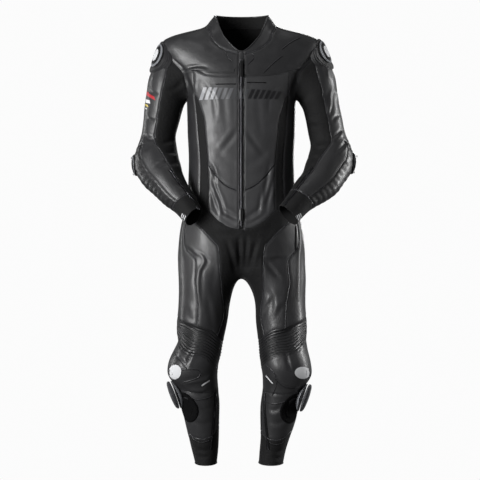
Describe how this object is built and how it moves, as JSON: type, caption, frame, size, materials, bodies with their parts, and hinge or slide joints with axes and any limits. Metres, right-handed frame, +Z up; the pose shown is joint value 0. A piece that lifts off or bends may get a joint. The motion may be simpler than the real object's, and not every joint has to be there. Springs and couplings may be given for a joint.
{
  "type": "motorcycle race suit",
  "caption": "One-piece leather motorcycle race suit, hollow and filled out as when worn, with a front zip, stretch panels, ribbed knees and hard sliders at the shoulders, elbows and knees.",
  "frame": {"origin": "between the shoulders at the foot of the neck, where the wearer's shoulders carry the suit", "axes": "+Z up along the standing suit, -Y is the suit's front with the zip, +X to the viewer's right when the front is seen"},
  "size_m": [0.7478, 0.2944, 1.4918],
  "materials": {
    "leather": "smooth black leather with a soft sheen",
    "stretch": "matt black stretch fabric, fine weave",
    "ribbed_leather": "black leather gathered in ribs",
    "zip_tape": "black woven zip tape",
    "hard_plastic": "dark grey moulded plastic, half gloss",
    "velcro": "black looped pile",
    "zip_metal": "black coated metal"
  },
  "bodies": {
    "suit": {"back": "leather", "belly_left": "leather", "belly_right": "leather", "calf_left": "stretch", "calf_right": "stretch", "chest_left": "leather", "chest_right": "leather", "collar": "leather", "cuff_left": "stretch", "cuff_right": "stretch", "elbow_panel_left": "ribbed_leather", "elbow_panel_right": "ribbed_leather", "elbow_slider_left": "hard_plastic", "elbow_slider_right": "hard_plastic", "gaiter_left": "stretch", "gaiter_right": "stretch", "knee_cup_left": "leather", "knee_cup_right": "leather", "knee_patch_left": "velcro", "knee_patch_right": "velcro", "knee_ribs_left": "ribbed_leather", "knee_ribs_right": "ribbed_leather", "knee_slider_left": "hard_plastic", "knee_slider_right": "hard_plastic", "main_zip_bottom_slider": "zip_metal", "main_zip_tape": "zip_tape", "main_zip_top_slider": "zip_metal", "pelvis_panel": "stretch", "pocket_welt": "leather", "seat_left": "leather", "seat_right": "leather", "shin_left": "leather", "shin_right": "leather", "shoulder_cup_left": "leather", "shoulder_cup_right": "leather", "shoulder_slider_left": "hard_plastic", "shoulder_slider_right": "hard_plastic", "side_panel_left": "leather", "side_panel_right": "leather", "side_strip_left": "stretch", "side_strip_right": "stretch", "sleeve_inner_left": "stretch", "sleeve_inner_right": "stretch", "sleeve_top_left": "leather", "sleeve_top_right": "leather", "thigh_front_left": "leather", "thigh_front_right": "leather", "thigh_outer_left": "leather", "thigh_outer_right": "leather", "yoke_left": "leather", "yoke_right": "leather", "zip_garage": "leather"},
    "main_zip_top_pull": {"main_zip_top_pull": "zip_metal"},
    "main_zip_bottom_pull": {"main_zip_bottom_pull": "zip_metal"},
    "calf_zip_pull_left": {"calf_zip_pull_left": "zip_metal"},
    "calf_zip_pull_right": {"calf_zip_pull_right": "zip_metal"},
    "wrist_zip_pull_left": {"wrist_zip_pull_left": "zip_metal"},
    "wrist_zip_pull_right": {"wrist_zip_pull_right": "zip_metal"}
  },
  "joints": [
    {"name": "main_zip_top_pull_hinge", "type": "hinge", "parent": "suit", "child": "main_zip_top_pull", "pos_m": [0, -0.11055, -0.11654], "axis": [-1, 0, 0], "range_deg": [0, 110]},
    {"name": "main_zip_bottom_pull_hinge", "type": "hinge", "parent": "suit", "child": "main_zip_bottom_pull", "pos_m": [0, -0.11653, -0.59863], "axis": [-1, 0, 0], "range_deg": [0, 110]},
    {"name": "calf_zip_pull_left_hinge", "type": "hinge", "parent": "suit", "child": "calf_zip_pull_left", "pos_m": [-0.08782, -0.05898, -1.2618], "axis": [-0.485, -0.8745, 0], "range_deg": [0, 110]},
    {"name": "calf_zip_pull_right_hinge", "type": "hinge", "parent": "suit", "child": "calf_zip_pull_right", "pos_m": [0.07634, -0.05776, -1.26165], "axis": [-0.4802, 0.8772, 0], "range_deg": [0, 110]},
    {"name": "wrist_zip_pull_left_hinge", "type": "hinge", "parent": "suit", "child": "wrist_zip_pull_left", "pos_m": [-0.14504, -0.15309, -0.58901], "axis": [-0.7026, -0.7048, -0.0976], "range_deg": [0, 110]},
    {"name": "wrist_zip_pull_right_hinge", "type": "hinge", "parent": "suit", "child": "wrist_zip_pull_right", "pos_m": [0.14664, -0.15176, -0.57321], "axis": [-0.6681, 0.7146, 0.2074], "range_deg": [0, 110]}
  ]
}
